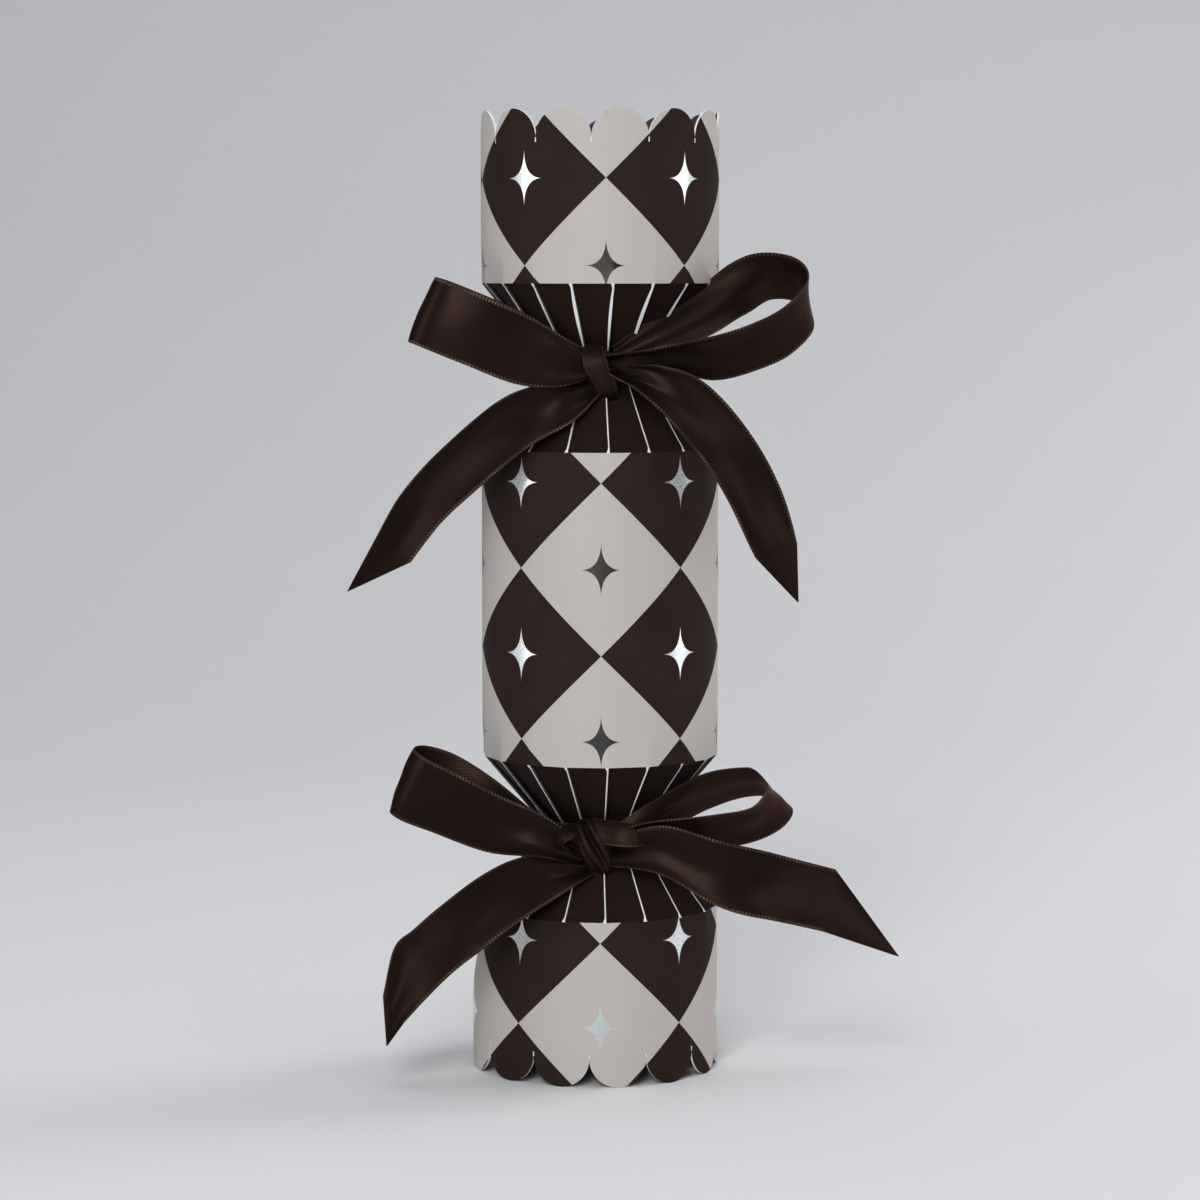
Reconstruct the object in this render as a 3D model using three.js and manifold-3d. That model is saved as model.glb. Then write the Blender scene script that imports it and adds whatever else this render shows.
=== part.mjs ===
// A party cracker that stands on one end: a printed card tube whose two necks are slit into petals,
// gathered to a waist and tied with satin ribbon. A paper snap runs through it, and a paper hat, a
// motto and a small gift lie in the barrel. Millimetres, +Z up, front of the cracker towards -Y.
import * as THREE from 'three';
import Module from 'manifold-3d';

const wasm = await Module();
wasm.setup();

// The rolled card
const TUBE_RADIUS = 26;
const CARD = 0.45;
const LOWER_TUBE = 36;
const LOWER_NECK = 33.6;
const BARREL = 67.6;
const UPPER_NECK = 35.9;
const UPPER_TUBE = 37.1;
const CREASE_BLEND = 8;
const SEAM_LAP = 20;

// The petals that the slits leave in each neck
const PETALS = 18;
const SLIT = 0.55;
const PETAL_GAP = 0.12;
const GREATEST_LEAN = 45;
const WAIST_SLACK = 1.3;
const TEAR_GAP = 0.3;
const UPPER_TUBE_SLITS = 6.8;
const BARREL_TOP_SLITS = 4.6;
const BARREL_BOTTOM_SLITS = 4.1;
const LOWER_TUBE_SLITS = 3;

// The scalloped ends
const SCALLOPS = 13;
const SCALLOP_FLAT = 1.6;
const TOP_SCALLOPS = -4.1;
const BOTTOM_SCALLOPS = -5.1;

// Ribbon
const RIBBON_WIDTH = 15;
const RIBBON = 0.5;
const BAND_HEIGHT = 6.4;
const BAND_BULK = 1.5;
const KNOT_WIDTH = 6.4;
const KNOT_HEIGHT = 12.5;
const KNOT_DEPTH = 7;

// Snap
const STRIP_WIDTH = 8;
const STRIP = 0.35;
const STRIP_END = 9;
const SNAP_LAP = 18;
const SLEEVE_HEIGHT = 14;
const SLEEVE_WALL = 0.3;
const CHARGE_WIDTH = 5;
const CHARGE_HEIGHT = 6;
const CHARGE = 0.4;
const TAPE_WIDTH = 13;
const TAPE_HEIGHT = 14;
const TAPE = 0.2;

// Gift box and what it holds
const LID_WIDTH = 27;
const LID_DEPTH = 16.5;
const LID_HEIGHT = 7;
const BOX_HEIGHT = 22;
const BOX_WALL = 0.8;
const PAD_HEIGHT = 9;
const STUD_RADIUS = 2.6;
const POST_RADIUS = 0.45;
const POST_END = 1.3;
const BACK_RADIUS = 2.2;
const BACK_HEIGHT = 2;

// Hat and motto
const HAT_RADIUS = 6.5;
const HAT_BORE = 2;
const HAT_HEIGHT = 40;
const HAT_SIDE = -8;
const HAT_BEHIND = 11;
const HAT_BAND_HEIGHT = 8;
const PAPER = 0.4;
const MOTTO_RADIUS = 3.2;
const MOTTO_HEIGHT = 44;
const MOTTO_SIDE = 9;
const MOTTO_BEHIND = 10;

// Everything that seats on or passes through something else keeps this clear of it
const CLEAR = 0.3;

// The tube's axis stands here, so that the middle of the whole outline is at the origin
const AXIS_X = -5;
const AXIS_Y = 2.45;

const Z = {
  lowerCrease: LOWER_TUBE,
  lowerWaist: LOWER_TUBE + LOWER_NECK / 2,
  barrelBottom: LOWER_TUBE + LOWER_NECK,
};
Z.barrelTop = Z.barrelBottom + BARREL;
Z.upperWaist = Z.barrelTop + UPPER_NECK / 2;
Z.upperCrease = Z.barrelTop + UPPER_NECK;
Z.top = Z.upperCrease + UPPER_TUBE;

const TURN = 2 * Math.PI;
const PITCH = TURN / PETALS;
const PETAL_WIDTH = 2 * TUBE_RADIUS * Math.sin(PITCH / 2) - SLIT;
const LOBE = Math.PI * TUBE_RADIUS / SCALLOPS;
const FACET = Math.cos(PITCH / 2);
const radians = THREE.MathUtils.degToRad;

// Angles count from the front, towards the right
const around = (radius, angle, z) => [radius * Math.sin(angle), -radius * Math.cos(angle), z];

// Solids

function solid(points, triangles) {
  const p = points.map((v) => new THREE.Vector3(...v));
  let volume = 0;
  for (const [a, b, c] of triangles) volume += p[a].dot(p[b].clone().cross(p[c])) / 6;
  const faces = volume > 0 ? triangles : triangles.map(([a, b, c]) => [a, c, b]);
  const mesh = new wasm.Mesh({
    numProp: 3,
    vertProperties: new Float32Array(points.flat()),
    triVerts: new Uint32Array(faces.flat()),
  });
  return new wasm.Manifold(mesh);
}

function toGeometry(body) {
  const mesh = body.getMesh();
  const geometry = new THREE.BufferGeometry();
  geometry.setAttribute('position', new THREE.BufferAttribute(new Float32Array(mesh.vertProperties), 3));
  geometry.setIndex(new THREE.BufferAttribute(new Uint32Array(mesh.triVerts), 1));
  return geometry;
}

function fromGeometry(geometry) {
  const position = geometry.getAttribute('position');
  const index = geometry.index;
  const seen = new Map();
  const points = [];
  const at = [];
  for (let i = 0; i < position.count; i++) {
    const v = [position.getX(i), position.getY(i), position.getZ(i)];
    const key = v.map((n) => Math.round(n * 1e4)).join();
    if (!seen.has(key)) seen.set(key, points.push(v) - 1);
    at.push(seen.get(key));
  }
  const triangles = [];
  const count = index ? index.count : position.count;
  for (let i = 0; i < count; i += 3) {
    const [a, b, c] = [0, 1, 2].map((k) => at[index ? index.getX(i + k) : i + k]);
    if (a !== b && b !== c && c !== a) triangles.push([a, b, c]);
  }
  return solid(points, triangles);
}

const join = (...bodies) => bodies.reduce((whole, body) => whole.add(body));

// A closed surface through rings of points, which may differ in number. Each ring is
// { angles, points }, and the last ring joins the first again.
function throughRings(rings) {
  const points = [];
  const triangles = [];
  const starts = rings.map((ring) => {
    points.push(...ring.points);
    return points.length - ring.points.length;
  });
  rings.forEach((a, k) => {
    const b = rings[(k + 1) % rings.length];
    const [startA, startB] = [starts[k], starts[(k + 1) % rings.length]];
    const [countA, countB] = [a.points.length, b.points.length];
    const angle = (ring, i) => ring.angles[i % ring.angles.length] + (i >= ring.angles.length ? TURN : 0);
    let i = 0;
    let j = 0;
    while (i < countA || j < countB) {
      const takeA = j >= countB || (i < countA && angle(a, i + 1) <= angle(b, j + 1) + 1e-9);
      const [pa, pb] = [startA + i % countA, startB + j % countB];
      if (takeA) triangles.push([pa, startA + (i + 1) % countA, pb]);
      else triangles.push([pa, startB + (j + 1) % countB, pb]);
      if (takeA) i++;
      else j++;
    }
  });
  return solid(points, triangles);
}

// A closed surface along sections of the same number of points, capped at both ends. A last
// section of two points ends the piece in an edge.
function alongSections(sections) {
  const points = sections.flat();
  const n = sections[0].length;
  const triangles = [];
  const edgeEnd = sections[sections.length - 1].length === 2;
  const last = sections.length - (edgeEnd ? 2 : 1);
  for (let s = 0; s < last; s++) {
    for (let k = 0; k < n; k++) {
      const [a, b] = [s * n + k, s * n + (k + 1) % n];
      triangles.push([a, b, a + n], [b, b + n, a + n]);
    }
  }
  for (let k = 1; k < n - 1; k++) triangles.push([0, k + 1, k]);
  const end = last * n;
  if (edgeEnd) {
    // Corners run outer U, outer L, inner L, inner U, and the edge is outer, inner
    const [outer, inner] = [end + n, end + n + 1];
    triangles.push([end, end + 1, outer], [end + 1, end + 2, inner], [end + 1, inner, outer]);
    triangles.push([end + 2, end + 3, inner], [end + 3, end, outer], [end + 3, outer, inner]);
  } else {
    for (let k = 1; k < n - 1; k++) triangles.push([end, end + k, end + k + 1]);
  }
  return solid(points, triangles);
}

// Card wrapper

// Thickness of a leaning petal, measured level, and how far its under edge has to tuck in for the
// next petal to pass over it
const levelCard = (lean) => CARD / Math.cos(lean);
const petalTuck = (card) => (card + PETAL_GAP) / Math.sin(PITCH);

const WAIST_RADIUS = (PETAL_WIDTH + petalTuck(levelCard(radians(GREATEST_LEAN)))) * FACET + WAIST_SLACK;
const petalLean = (neck) => Math.atan((TUBE_RADIUS - WAIST_RADIUS) / (neck / 2));

// A flat petal's level section: its distance from the axis, and where its under and upper edges lie
// along it. The upper edge's outer corner is at the given radius.
function petalSection(radius, tuck) {
  const reach = PETAL_WIDTH + tuck;
  const slope = Math.tan(PITCH / 2);
  const root = Math.sqrt((reach * slope) ** 2 - (1 + slope ** 2) * (reach ** 2 - radius ** 2));
  const away = FACET ** 2 * (reach * slope + root);
  const upper = reach - away * slope;
  return { away, upper, under: upper - PETAL_WIDTH, angle: Math.atan2(upper, away) };
}

// One neck's petals from a crease to the waist, each a flat plank that starts as a facet of the
// crease and tucks its left edge under its neighbour
function petals(creaseZ, waistZ, firstSlit) {
  const half = Math.abs(waistZ - creaseZ);
  const grow = Math.sign(waistZ - creaseZ);
  const card = levelCard(petalLean(2 * half));
  const edge = Math.atan2(PETAL_WIDTH / 2, TUBE_RADIUS * FACET);
  const inset = 0.06;
  const bodies = [];
  for (let i = 0; i < PETALS; i++) {
    const middle = radians(firstSlit) + (i + 0.5) * PITCH;
    const section = (facing, away, under, upper, thick, z) => {
      const out = [Math.sin(facing), -Math.cos(facing)];
      const along = [Math.cos(facing), Math.sin(facing)];
      const corner = (s, d) => [out[0] * d + along[0] * s, out[1] * d + along[1] * s, z];
      return [corner(under, away), corner(upper, away), corner(upper, away - thick), corner(under, away - thick)];
    };
    const facet = (z) => section(middle, TUBE_RADIUS * FACET - inset, inset - PETAL_WIDTH / 2,
      PETAL_WIDTH / 2 - inset, CARD - 2 * inset, z);
    const sections = [facet(creaseZ - grow * 0.5), facet(creaseZ + grow * 0.03)];
    for (const share of [0.045, 0.25, 0.45, 0.62, 0.76, 0.88, 1]) {
      const radius = TUBE_RADIUS + (WAIST_RADIUS - TUBE_RADIUS) * share;
      const { away, upper, under, angle } = petalSection(radius, petalTuck(card));
      const z = creaseZ + grow * (half - TEAR_GAP / 2) * share;
      sections.push(section(middle + edge - angle, away, under, upper, card, z));
    }
    bodies.push(alongSections(sections));
  }
  return bodies;
}

// Outside of a neck at a height above or below its waist
const neckRadius = (neck, rise) => WAIST_RADIUS + (TUBE_RADIUS - WAIST_RADIUS) * Math.abs(rise) / (neck / 2);

// A ring of the card at a crease, where it is folded into flats, or away from one, where it is round
function roundRing(z, depth) {
  const angles = Array.from({ length: PETALS * 4 }, (_, i) => i * PITCH / 4);
  return { angles, points: angles.map((a) => around(TUBE_RADIUS - depth, a, z)) };
}

function creaseRing(z, depth, firstSlit) {
  const turn = radians(firstSlit);
  const angles = Array.from({ length: PETALS * 4 }, (_, i) => i * PITCH / 4 + turn);
  const apothem = TUBE_RADIUS * FACET - depth;
  const points = angles.map((a, i) => around(apothem / Math.cos((i % 4) * PITCH / 4 - PITCH / 2), a, z));
  return { angles, points };
}

// The scalloped edge: half round lobes, each with a short flat at its tip
function scallopRing(z, depth, down, turn) {
  const swing = [90, 72, 55, 38, 22];
  const half = SCALLOP_FLAT / 2;
  const flatDrop = Math.sqrt(LOBE ** 2 - half ** 2);
  const offsets = [...swing.map((s) => -LOBE * Math.sin(radians(s))), -half, half,
    ...swing.slice(1).reverse().map((s) => LOBE * Math.sin(radians(s)))];
  const angles = [];
  const points = [];
  for (let i = 0; i < SCALLOPS; i++) {
    for (const x of offsets) {
      const drop = flatDrop - Math.sqrt(Math.max(0, LOBE ** 2 - x ** 2));
      const angle = radians(turn) + (i + 0.5) * TURN / SCALLOPS + x / TUBE_RADIUS;
      angles.push(angle);
      points.push(around(TUBE_RADIUS - depth, angle, z + (down ? drop : -drop)));
    }
  }
  return { angles, points };
}

// The lap where the card is glued to itself at the back
function seam(z0, z1) {
  const lap = radians(SEAM_LAP);
  const steps = 6;
  const at = (radius, i) => around(radius, Math.PI - lap / 2 + lap * i / steps, 0);
  const rise = (i) => TUBE_RADIUS - 0.05 + (CARD + 0.05) * Math.min(1, i / 3);
  const outer = Array.from({ length: steps + 1 }, (_, i) => at(rise(i), i));
  const inner = Array.from({ length: steps + 1 }, (_, i) => at(TUBE_RADIUS - CARD / 2, steps - i));
  const shape = new THREE.Shape([...outer, ...inner].map(([x, y]) => new THREE.Vector2(x, y)));
  const lapping = new THREE.ExtrudeGeometry(shape, { depth: z1 - z0, bevelEnabled: false });
  return fromGeometry(lapping.translate(0, 0, z0));
}

function endTube(creaseZ, tipZ, firstSlit, scallopTurn, waistZ) {
  const up = Math.sign(tipZ - creaseZ);
  const blendZ = creaseZ + up * CREASE_BLEND;
  const wall = throughRings([
    creaseRing(creaseZ, 0, firstSlit),
    roundRing(blendZ, 0),
    scallopRing(tipZ, 0, up < 0, scallopTurn),
    scallopRing(tipZ, CARD, up < 0, scallopTurn),
    roundRing(blendZ, CARD),
    creaseRing(creaseZ, CARD, firstSlit),
  ]);
  const notchZ = tipZ - up * (LOBE + 1);
  const lap = seam(Math.min(blendZ, notchZ), Math.max(blendZ, notchZ));
  return join(wall, lap, ...petals(creaseZ, waistZ, firstSlit));
}

function barrelWrap() {
  const wall = throughRings([
    creaseRing(Z.barrelBottom, 0, BARREL_BOTTOM_SLITS),
    roundRing(Z.barrelBottom + CREASE_BLEND, 0),
    roundRing(Z.barrelTop - CREASE_BLEND, 0),
    creaseRing(Z.barrelTop, 0, BARREL_TOP_SLITS),
    creaseRing(Z.barrelTop, CARD, BARREL_TOP_SLITS),
    roundRing(Z.barrelTop - CREASE_BLEND, CARD),
    roundRing(Z.barrelBottom + CREASE_BLEND, CARD),
    creaseRing(Z.barrelBottom, CARD, BARREL_BOTTOM_SLITS),
  ]);
  return join(wall, seam(Z.barrelBottom + CREASE_BLEND, Z.barrelTop - CREASE_BLEND),
    ...petals(Z.barrelBottom, Z.lowerWaist, BARREL_BOTTOM_SLITS),
    ...petals(Z.barrelTop, Z.upperWaist, BARREL_TOP_SLITS));
}

// Ribbons

const KNOT_Y = -(WAIST_RADIUS + CLEAR + BAND_BULK + KNOT_DEPTH / 2 - 0.8);

// Stations of a length of ribbon: [side, ahead, rise, across, share of the full width]. side is to
// the right of the axis, ahead is in front of the knot's middle, rise is above the waist, and
// across is the direction over the ribbon's width. The first three are for a ribbon this wide:
const BOW_RIBBON = 15;
const UPPER_LEFT_LOOP = [
  [-2, 2, 0.5, [0.1, 0, 1], 0.35], [-8, 3.2, 1, [0.17, 0, 0.98], 0.7],
  [-16.5, 4, 3.7, [0.22, 0, 0.98], 1], [-27, 4, 8, [0.31, 0, 0.95], 1],
  [-36, 3, 11.7, [0.39, 0, 0.92], 1], [-38.2, 1.4, 12.5, [0.39, 0, 0.92], 1],
  [-36, -0.3, 11.8, [0.39, 0, 0.92], 1], [-26.5, -1, 8, [0.32, 0, 0.95], 1],
  [-16.5, -0.2, 4, [0.22, 0, 0.97], 0.95], [-8, 0.8, 1.5, [0.15, 0, 1], 0.6],
  [-2, 0.5, 0.5, [0.1, 0, 1], 0.35],
];
const UPPER_RIGHT_LOOP = [
  [1.5, 2, 0.5, [0, -0.3, 0.95], 0.35], [8, 4, 1.5, [0, -0.7, 0.7], 0.5],
  [15, 5, 2.2, [0, -0.8, 0.6], 0.7], [25, 5, 1.8, [0.05, -0.7, 0.7], 1],
  [34, 4, 3.5, [-0.06, -0.67, 0.74], 1], [41, 1, 6.9, [-0.2, -0.64, 0.73], 1],
  [45.5, -3, 13.2, [-0.19, -0.66, 0.72], 1], [44, -7, 18, [-0.14, -0.7, 0.7], 1],
  [36.8, -9, 19.2, [-0.08, -0.7, 0.7], 1], [29.6, -8.5, 16.2, [-0.12, -0.7, 0.7], 1],
  [22.5, -5.5, 11, [-0.3, -0.68, 0.67], 0.95], [13.5, -0.5, 6.7, [-0.38, -0.6, 0.7], 0.7],
  [3, 0.5, 2, [-0.1, -0.2, 1], 0.35],
];
const UPPER_LEFT_TAIL = [
  [-0.8, 1, -4, [-0.55, 0.26, 0.8], 0.25], [-9, 4.6, -7.2, [-0.65, 0.35, 0.67], 0.75],
  [-19, 4.4, -12, [-0.57, 0.61, 0.54], 1], [-30.7, 2.5, -21.8, [-0.64, 0.62, 0.45], 1],
  [-38, 1.5, -30, [-0.62, 0.73, 0.28], 1], [-44.2, 0.2, -39.2, [-0.51, 0.82, 0.25], 1],
];
const UPPER_LEFT_TIP = [-55, -7, -49];
const UPPER_RIGHT_TAIL = [
  [1.5, 1, -1.5, [0, 0.4, 0.9], 0.3], [8.2, 5, -3, [0.2, 0.5, 0.84], 0.5],
  [18, 7, -6.7, [0.5, 0.65, 0.56], 0.92], [27, 7.2, -16.3, [0.65, 0.68, 0.33], 1],
  [33.3, 5, -26.8, [0.72, 0.68, 0.12], 1], [37.7, 4, -39.2, [0.6, 0.78, 0.15], 1],
];
const UPPER_RIGHT_TIP = [43, -3, -51];
const LOWER_LEFT_LOOP = [
  [-4, 2, -3, [0, 0, 1], 0.35], [-12.5, 3.4, 1, [0.13, 0, 0.99], 0.6],
  [-23, 3.2, 3.6, [0.28, -0.25, 0.93], 0.9], [-34, 2.5, 8.5, [0.31, -0.25, 0.91], 1],
  [-41, 2, 11.7, [0.37, -0.12, 0.92], 1], [-43.2, -1, 12.9, [0.36, -0.06, 0.93], 1],
  [-40.6, -4, 12, [0.36, 0, 0.93], 1], [-33.5, -4.5, 9.6, [0.3, 0.14, 0.94], 1],
  [-24.6, -2.5, 5.5, [0.26, 0.2, 0.94], 0.9], [-13.4, 0.4, 1.4, [0.13, 0, 0.99], 0.5],
  [-4, 0.5, -2.5, [0, 0, 1], 0.35],
];
const LOWER_RIGHT_LOOP = [
  [0, 2, -2, [0, -0.3, 0.95], 0.35], [6, 3.6, 1, [0.1, -0.6, 0.8], 0.45],
  [12, 4.5, 3, [0.26, -0.79, 0.56], 0.6], [23.4, 4.5, 2.6, [0.2, -0.79, 0.6], 0.95],
  [32, 3, 3.4, [0.07, -0.77, 0.64], 1], [39, -1, 6, [-0.1, -0.76, 0.64], 1],
  [41.6, -6, 8.5, [-0.12, -0.8, 0.6], 1], [37, -10.5, 10.6, [-0.04, -0.85, 0.52], 1],
  [30.9, -11.5, 10.6, [-0.03, -0.83, 0.55], 1], [23.5, -9, 9, [-0.05, -0.75, 0.65], 0.95],
  [15.5, -3.5, 6, [-0.2, -0.64, 0.74], 0.65], [8, 0, 2.8, [-0.2, -0.5, 0.85], 0.4],
  [1.3, 0.5, -2, [0, -0.2, 1], 0.35],
];
const LOWER_LEFT_TAIL = [
  [-3, 1.5, -6.5, [-0.65, 0.1, 0.76], 0.25], [-11, 4.8, -6.6, [-0.69, 0.3, 0.66], 0.75],
  [-20.5, 8.2, -10.7, [-0.66, 0.56, 0.5], 1], [-29.6, 10, -17.3, [-0.66, 0.56, 0.5], 1],
  [-35.5, 10.5, -22, [-0.66, 0.6, 0.45], 1], [-40.2, 10.5, -26.5, [-0.61, 0.63, 0.48], 1],
  [-44.6, 10.5, -35.3, [-0.55, 0.65, 0.52], 0.6],
];
const LOWER_LEFT_TIP = [-46, 10, -43.5];
const LOWER_RIGHT_TAIL = [
  [1, 1.5, -3, [0, 0.2, 1], 0.35], [7.5, 4.5, -1.6, [0, 0.3, 0.95], 0.6],
  [14.8, 6.4, -1.8, [0, 0.36, 0.93], 0.8], [26.3, 8.5, -6.4, [0.12, 0.5, 0.85], 1],
  [38.4, 5.5, -10, [0.19, 0.49, 0.87], 1], [49.6, 2, -13.2, [0.22, 0.54, 0.82], 1],
];
const LOWER_RIGHT_TIP = [65, 2, -25.5];

const placed = (station, waistZ) => {
  const [side, ahead, rise] = station.slice(0, 3).map((length) => length * RIBBON_WIDTH / BOW_RIBBON);
  return new THREE.Vector3(side, KNOT_Y - ahead, waistZ + rise);
};

// A length of ribbon with a rectangular section. A tail ends in the tip of its slanted cut.
function ribbonLength(stations, waistZ, steps, tip) {
  const middle = new THREE.CatmullRomCurve3(stations.map((s) => placed(s, waistZ)));
  const across = new THREE.CatmullRomCurve3(stations.map((s) => new THREE.Vector3(...s[3])));
  const width = new THREE.CatmullRomCurve3(stations.map((s) => new THREE.Vector3(s[4], 0, 0)));
  const sections = [];
  let face;
  for (let i = 0; i <= steps; i++) {
    const t = i / steps;
    const centre = middle.getPoint(t);
    const over = across.getPoint(t).normalize();
    const half = over.clone().multiplyScalar(width.getPoint(t).x * RIBBON_WIDTH / 2);
    face = middle.getTangent(t).cross(over).normalize().multiplyScalar(RIBBON / 2);
    const corner = (edge, side) => centre.clone().addScaledVector(half, edge).addScaledVector(face, side);
    sections.push([corner(1, 1), corner(-1, 1), corner(-1, -1), corner(1, -1)]);
  }
  if (tip) {
    const point = placed(tip, waistZ);
    sections.push([point.clone().add(face), point.clone().sub(face)]);
  }
  return alongSections(sections.map((s) => s.map((v) => v.toArray())));
}

// A solid of revolution from a closed profile of [radius, height]
const turned = (profile, segments) => new THREE.LatheGeometry(
  profile.map(([r, z]) => new THREE.Vector2(r, z)), segments).rotateX(Math.PI / 2);
const ring = (profile, segments) => turned([...profile, profile[0]], segments);

// One bow: the ribbon drawn tight round the waist, the knot in front of it, the loops and the tails,
// all kept clear of the neck
function bow(waistZ, neck, knot, lengths) {
  const inner = (rise) => WAIST_RADIUS + CLEAR + (TUBE_RADIUS - WAIST_RADIUS) * Math.abs(rise) / (neck / 2);
  const half = BAND_HEIGHT / 2;
  const bulge = half * 0.4;
  const band = ring([
    [inner(half), half], [inner(0), 0], [inner(half), -half], [inner(half) + BAND_BULK * 0.4, -half],
    [inner(bulge) + BAND_BULK, -bulge], [inner(bulge) + BAND_BULK, bulge], [inner(half) + BAND_BULK * 0.4, half],
  ], 36).translate(0, 0, waistZ);
  const lump = new THREE.SphereGeometry(0.5, 14, 9).rotateX(Math.PI / 2);
  lump.scale(KNOT_WIDTH, KNOT_DEPTH, KNOT_HEIGHT).rotateY(radians(knot.tilt));
  lump.translate(knot.side, KNOT_Y, waistZ + knot.rise);
  const reach = neck / 2;
  const clearance = turned([[0, -reach], [inner(reach), -reach], [inner(0), 0], [inner(reach), reach], [0, reach]],
    36).translate(0, 0, waistZ);
  return join(fromGeometry(band), fromGeometry(lump), ...lengths).subtract(fromGeometry(clearance));
}

const upperRibbon = bow(Z.upperWaist, UPPER_NECK, { side: -0.4, rise: -0.5, tilt: -8 }, [
  ribbonLength(UPPER_LEFT_LOOP, Z.upperWaist, 20),
  ribbonLength(UPPER_RIGHT_LOOP, Z.upperWaist, 26),
  ribbonLength(UPPER_LEFT_TAIL, Z.upperWaist, 12, UPPER_LEFT_TIP),
  ribbonLength(UPPER_RIGHT_TAIL, Z.upperWaist, 12, UPPER_RIGHT_TIP),
]);
const lowerRibbon = bow(Z.lowerWaist, LOWER_NECK, { side: -2.2, rise: -2.5, tilt: -24 }, [
  ribbonLength(LOWER_LEFT_LOOP, Z.lowerWaist, 20),
  ribbonLength(LOWER_RIGHT_LOOP, Z.lowerWaist, 26),
  ribbonLength(LOWER_LEFT_TAIL, Z.lowerWaist, 12, LOWER_LEFT_TIP),
  ribbonLength(LOWER_RIGHT_TAIL, Z.lowerWaist, 12, LOWER_RIGHT_TIP),
]);

// Snap

// The strips lie on the back wall of the end tubes, and run straight up the axis between the waists
const stripRoom = TUBE_RADIUS * FACET - CARD - CLEAR;
const wallY = Math.sqrt(stripRoom ** 2 - (STRIP_WIDTH / 2) ** 2) - STRIP / 2;
const stripY = CHARGE / 2 + CLEAR + STRIP / 2;
const snapZ = (Z.barrelBottom + Z.barrelTop) / 2;

// A strip bent along points [y, z], extruded across its width
function stripAlong(path, width, thickness) {
  const point = path.map(([y, z]) => new THREE.Vector2(y, z));
  const side = (sign) => point.map((p, i) => {
    const before = point[Math.max(i - 1, 0)];
    const after = point[Math.min(i + 1, point.length - 1)];
    const a = p.clone().sub(before).normalize();
    const b = after.clone().sub(p).normalize();
    const way = a.add(b).normalize();
    const next = (i < point.length - 1 ? after.clone().sub(p) : p.clone().sub(before)).normalize();
    const mitre = 1 / Math.max(0.5, way.dot(next));
    return p.clone().add(new THREE.Vector2(-way.y, way.x).multiplyScalar(sign * mitre * thickness / 2));
  });
  const shape = new THREE.Shape([...side(1), ...side(-1).reverse()]);
  const strip = new THREE.ExtrudeGeometry(shape, { depth: width, bevelEnabled: false });
  // The shape's x becomes +Y, its y becomes +Z, and the extrusion becomes +X
  strip.applyMatrix4(new THREE.Matrix4().makeBasis(
    new THREE.Vector3(0, 1, 0), new THREE.Vector3(0, 0, 1), new THREE.Vector3(1, 0, 0)));
  return strip.translate(-width / 2, 0, 0);
}

const snapStripLower = stripAlong([
  [wallY, STRIP_END], [wallY, Z.lowerCrease], [stripY, Z.lowerWaist - 1], [stripY, snapZ + SNAP_LAP / 2],
], STRIP_WIDTH, STRIP);
const snapStripUpper = stripAlong([
  [wallY, Z.top - STRIP_END], [wallY, Z.upperCrease], [-stripY, Z.upperWaist + 1], [-stripY, snapZ - SNAP_LAP / 2],
], STRIP_WIDTH, STRIP);

// A box shape from its size, the middle of its base, and its foot
const block = (width, depth, height, x, y, z) => new THREE.BoxGeometry(width, depth, height)
  .translate(x, y, z + height / 2);
const hollowed = (whole, ...cuts) => toGeometry(
  cuts.reduce((body, cut) => body.subtract(fromGeometry(cut)), fromGeometry(whole)));

const snapCharge = block(CHARGE_WIDTH, CHARGE, CHARGE_HEIGHT, 0, 0, snapZ - CHARGE_HEIGHT / 2);
const sleeveWidth = STRIP_WIDTH + 2 * CLEAR;
const sleeveDepth = 2 * (stripY + STRIP / 2 + CLEAR);
const snapSleeve = hollowed(
  block(sleeveWidth + 2 * SLEEVE_WALL, sleeveDepth + 2 * SLEEVE_WALL, SLEEVE_HEIGHT, 0, 0, snapZ - SLEEVE_HEIGHT / 2),
  block(sleeveWidth, sleeveDepth, 2 * SLEEVE_HEIGHT, 0, 0, snapZ - SLEEVE_HEIGHT));
const tapeY = wallY - STRIP / 2 - CLEAR - TAPE / 2;
const tapeLower = block(TAPE_WIDTH, TAPE, TAPE_HEIGHT, 0, tapeY, STRIP_END + 2);
const tapeUpper = block(TAPE_WIDTH, TAPE, TAPE_HEIGHT, 0, tapeY, Z.top - STRIP_END - 2 - TAPE_HEIGHT);

// Gift box, hat and motto

// The height at which the petals under the barrel hold up a corner this far from the axis
function seatZ(radius) {
  const card = levelCard(petalLean(LOWER_NECK));
  const away = radius + 1.3 * CLEAR + card;
  const edge = Math.hypot(away, PETAL_WIDTH + petalTuck(card) - away * Math.tan(PITCH / 2));
  const share = (TUBE_RADIUS - edge) / (TUBE_RADIUS - WAIST_RADIUS);
  return Z.barrelBottom - (LOWER_NECK - TEAR_GAP) / 2 * share;
}

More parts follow.
